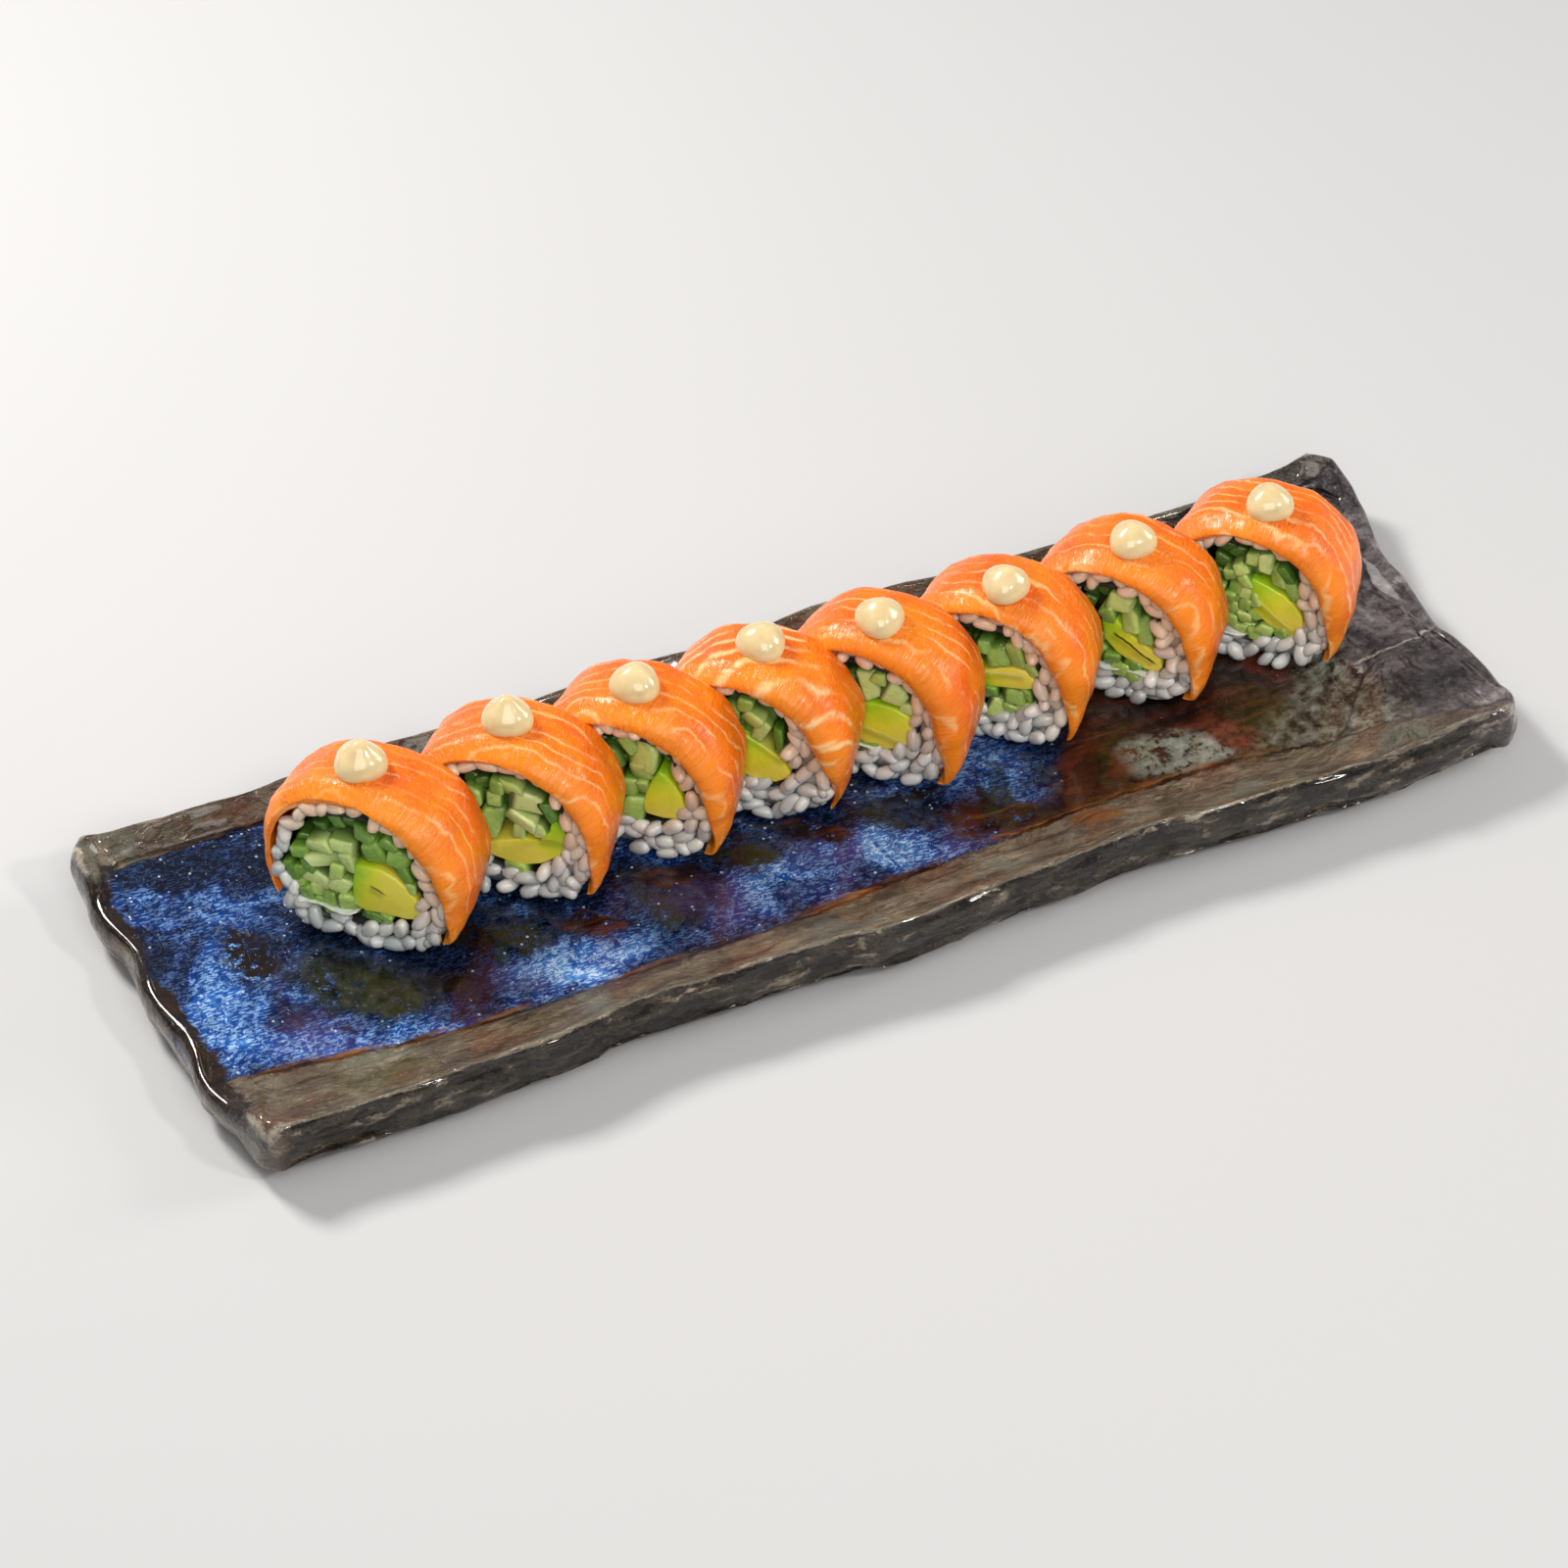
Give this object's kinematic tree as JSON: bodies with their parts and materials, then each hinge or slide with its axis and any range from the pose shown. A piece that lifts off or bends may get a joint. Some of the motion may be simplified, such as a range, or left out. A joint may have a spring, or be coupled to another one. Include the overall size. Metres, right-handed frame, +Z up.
{
  "type": "uramaki roll on a platter",
  "caption": "Sliced inside-out salmon rolls with cucumber and avocado, each topped with a dollop of sauce, in a slanting row on a long hand-made glazed stoneware platter.",
  "frame": {"origin": "under the middle of the platter, on the plane of its flat foot", "axes": "+X along the platter towards its bare stone-like end, +Z up"},
  "size_m": [0.36, 0.12, 0.0681],
  "materials": {
    "platter": "hand-made stoneware, glossy speckled cobalt glaze with brown pools, grey-brown rims",
    "rice": "moist translucent white grains",
    "nori": "moist near-black seaweed sheet",
    "cucumber": "wet pale green flesh with dark green skin",
    "avocado": "buttery yellow-green flesh",
    "cream": "soft white cream cheese",
    "salmon": "glossy raw orange flesh with pale fat lines",
    "dollop": "smooth pale yellow sauce"
  },
  "bodies": {
    "root": {"platter": "platter", "rice_1": "rice", "nori_1": "nori", "cucumber_1": "cucumber", "avocado_1": "avocado", "cream_1": "cream", "salmon_1": "salmon", "dollop_1": "dollop", "rice_2": "rice", "nori_2": "nori", "cucumber_2": "cucumber", "avocado_2": "avocado", "salmon_2": "salmon", "dollop_2": "dollop", "rice_3": "rice", "nori_3": "nori", "cucumber_3": "cucumber", "avocado_3": "avocado", "salmon_3": "salmon", "dollop_3": "dollop", "rice_4": "rice", "nori_4": "nori", "cucumber_4": "cucumber", "avocado_4": "avocado", "salmon_4": "salmon", "dollop_4": "dollop", "rice_5": "rice", "nori_5": "nori", "cucumber_5": "cucumber", "avocado_5": "avocado", "cream_5": "cream", "salmon_5": "salmon", "dollop_5": "dollop", "rice_6": "rice", "nori_6": "nori", "cucumber_6": "cucumber", "avocado_6": "avocado", "salmon_6": "salmon", "dollop_6": "dollop", "rice_7": "rice", "nori_7": "nori", "cucumber_7": "cucumber", "avocado_7": "avocado", "cream_7": "cream", "salmon_7": "salmon", "dollop_7": "dollop", "rice_8": "rice", "nori_8": "nori", "cucumber_8": "cucumber", "avocado_8": "avocado", "cream_8": "cream", "salmon_8": "salmon", "dollop_8": "dollop"}
  },
  "joints": []
}
